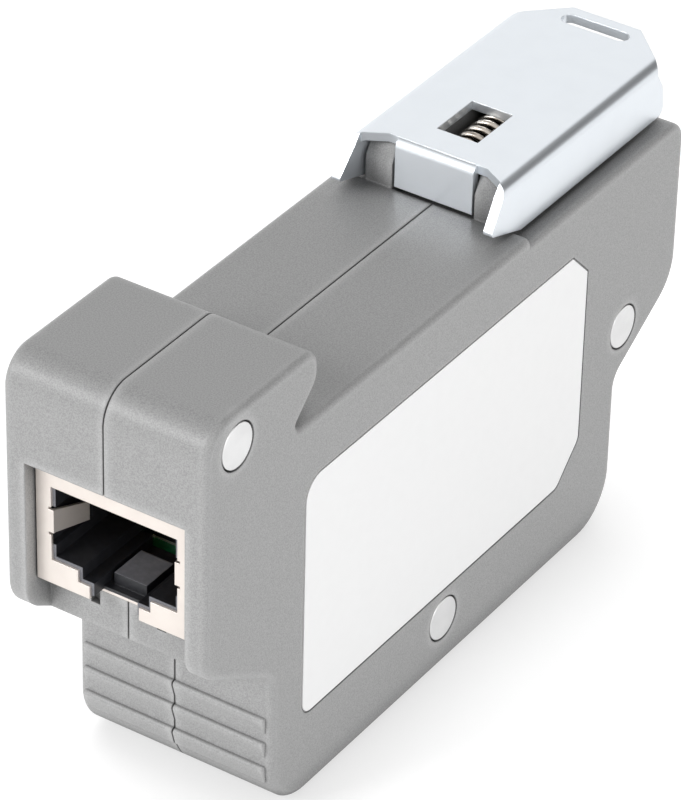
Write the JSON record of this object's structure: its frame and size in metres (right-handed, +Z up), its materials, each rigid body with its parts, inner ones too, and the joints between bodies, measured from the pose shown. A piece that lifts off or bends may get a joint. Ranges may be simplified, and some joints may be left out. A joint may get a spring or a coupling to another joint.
{
  "type": "ethernet surge protector",
  "caption": "Grey die-cast surge protector for an ethernet line, with a shielded socket at each end, riveted halves and a sprung steel foot for a DIN rail.",
  "frame": {"origin": "middle of the base, on the plane that the housing lies on, midway along the overall length and on the parting plane", "axes": "+Z up from the base to the rail side, +Y from the front socket to the rear socket and along the foot's travel, +X across the width towards the labelled side"},
  "size_m": [0.0196, 0.0752, 0.0438],
  "materials": {
    "housing_paint": "fine matte grain",
    "label_film": "smooth matte",
    "rivet_aluminium": "satin",
    "shield_steel": "bright tinned",
    "insert_plastic": "smooth matte",
    "contact_brass": "gold plated",
    "board_laminate": "solder resist",
    "tube_ceramic": "ceramic with metal rings",
    "diode_plastic": "moulded",
    "zinc_steel": "zinc plated satin",
    "spring_steel": "bright drawn"
  },
  "bodies": {
    "housing": {"housing_right": "housing_paint", "housing_left": "housing_paint", "label": "label_film", "rivet_head": "rivet_aluminium", "rivet_base": "rivet_aluminium", "rivet_rear": "rivet_aluminium", "front_jack_shield": "shield_steel", "front_jack_insert": "insert_plastic", "front_jack_contacts": "contact_brass", "rear_jack_shield": "shield_steel", "rear_jack_insert": "insert_plastic", "rear_jack_contacts": "contact_brass", "circuit_board": "board_laminate", "gas_tube_1": "tube_ceramic", "gas_tube_2": "tube_ceramic", "gas_tube_3": "tube_ceramic", "gas_tube_4": "tube_ceramic", "surge_diode_1": "diode_plastic", "surge_diode_2": "diode_plastic", "surge_diode_3": "diode_plastic", "surge_diode_4": "diode_plastic", "earth_strap": "contact_brass", "earth_screw": "zinc_steel", "foot_spring": "spring_steel"},
    "foot": {"rail_foot": "zinc_steel"}
  },
  "joints": [
    {"name": "foot_slide", "type": "slide", "parent": "housing", "child": "foot", "axis": [0, 1, 0], "range_m": [0, 0.0042], "stiffness_N_per_m": 1500, "springref_m": -0.003, "deforming": ["foot_spring"]}
  ]
}
